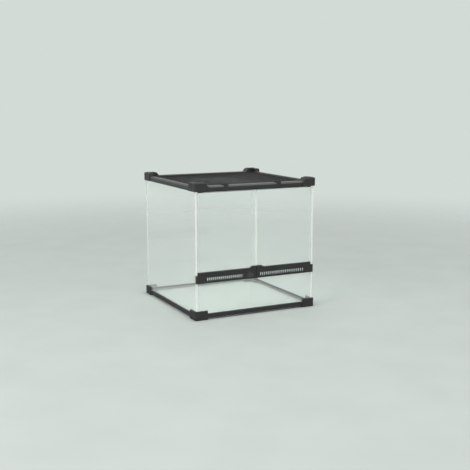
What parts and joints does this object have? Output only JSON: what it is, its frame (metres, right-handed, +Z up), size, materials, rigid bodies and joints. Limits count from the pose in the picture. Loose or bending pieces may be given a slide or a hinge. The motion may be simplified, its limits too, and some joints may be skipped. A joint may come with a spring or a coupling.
{
  "type": "reptile terrarium",
  "caption": "Flat-pack glass terrarium with a black plastic frame, two front doors over a slotted vent strip, a door lock slide and a lift-out mesh lid.",
  "frame": {"origin": "centre of the footprint, on the floor plane under the base corner blocks", "axes": "+X to the right along the front, +Y to the back, +Z up; the doors open towards -Y"},
  "size_m": [0.3, 0.3, 0.3],
  "materials": {
    "frame_plastic": "satin",
    "latch_plastic": "satin",
    "clear_glass": "polished",
    "mesh_metal": "matte"
  },
  "bodies": {
    "tank": {"base_corner_front_left": "frame_plastic", "base_corner_front_right": "frame_plastic", "base_corner_back_left": "frame_plastic", "base_corner_back_right": "frame_plastic", "base_rail_front": "frame_plastic", "base_rail_back": "frame_plastic", "base_rail_left": "frame_plastic", "base_rail_right": "frame_plastic", "floor_glass": "clear_glass", "left_glass": "clear_glass", "right_glass": "clear_glass", "back_glass": "clear_glass", "lower_front_glass": "clear_glass", "top_corner_front_left": "frame_plastic", "top_corner_front_right": "frame_plastic", "top_corner_back_left": "frame_plastic", "top_corner_back_right": "frame_plastic", "top_rail_front": "frame_plastic", "top_rail_back": "frame_plastic", "top_rail_left": "frame_plastic", "top_rail_right": "frame_plastic", "vent_strip_left": "frame_plastic", "vent_strip_right": "frame_plastic"},
    "left_door": {"left_door_glass": "clear_glass", "left_door_bar": "frame_plastic", "left_door_handle": "frame_plastic", "left_door_clip": "frame_plastic"},
    "right_door": {"right_door_glass": "clear_glass", "right_door_bar": "frame_plastic", "right_door_handle": "frame_plastic", "right_door_clip": "frame_plastic"},
    "door_lock": {"lock_slide": "latch_plastic"},
    "mesh_lid": {"lid_frame": "frame_plastic", "lid_mesh": "mesh_metal"},
    "lid_latch_left": {"lid_latch_left": "latch_plastic"},
    "lid_latch_right": {"lid_latch_right": "latch_plastic"}
  },
  "joints": [
    {"name": "left_door_hinge", "type": "hinge", "parent": "tank", "child": "left_door", "pos_m": [-0.138, -0.145, 0.0996], "axis": [0, 0, -1], "range_deg": [0, 100]},
    {"name": "right_door_hinge", "type": "hinge", "parent": "tank", "child": "right_door", "pos_m": [0.138, -0.145, 0.0996], "axis": [0, 0, 1], "range_deg": [0, 100]},
    {"name": "door_lock_slide", "type": "slide", "parent": "tank", "child": "door_lock", "axis": [0, 0, 1], "range_m": [0, 0.0035]},
    {"name": "lid_lift", "type": "slide", "parent": "tank", "child": "mesh_lid", "axis": [0, 0, 1], "range_m": [0, 0.08]},
    {"name": "lid_latch_left_slide", "type": "slide", "parent": "tank", "child": "lid_latch_left", "axis": [0, 1, 0], "range_m": [0, 0.0055]},
    {"name": "lid_latch_right_slide", "type": "slide", "parent": "tank", "child": "lid_latch_right", "axis": [0, 1, 0], "range_m": [0, 0.0055]}
  ]
}
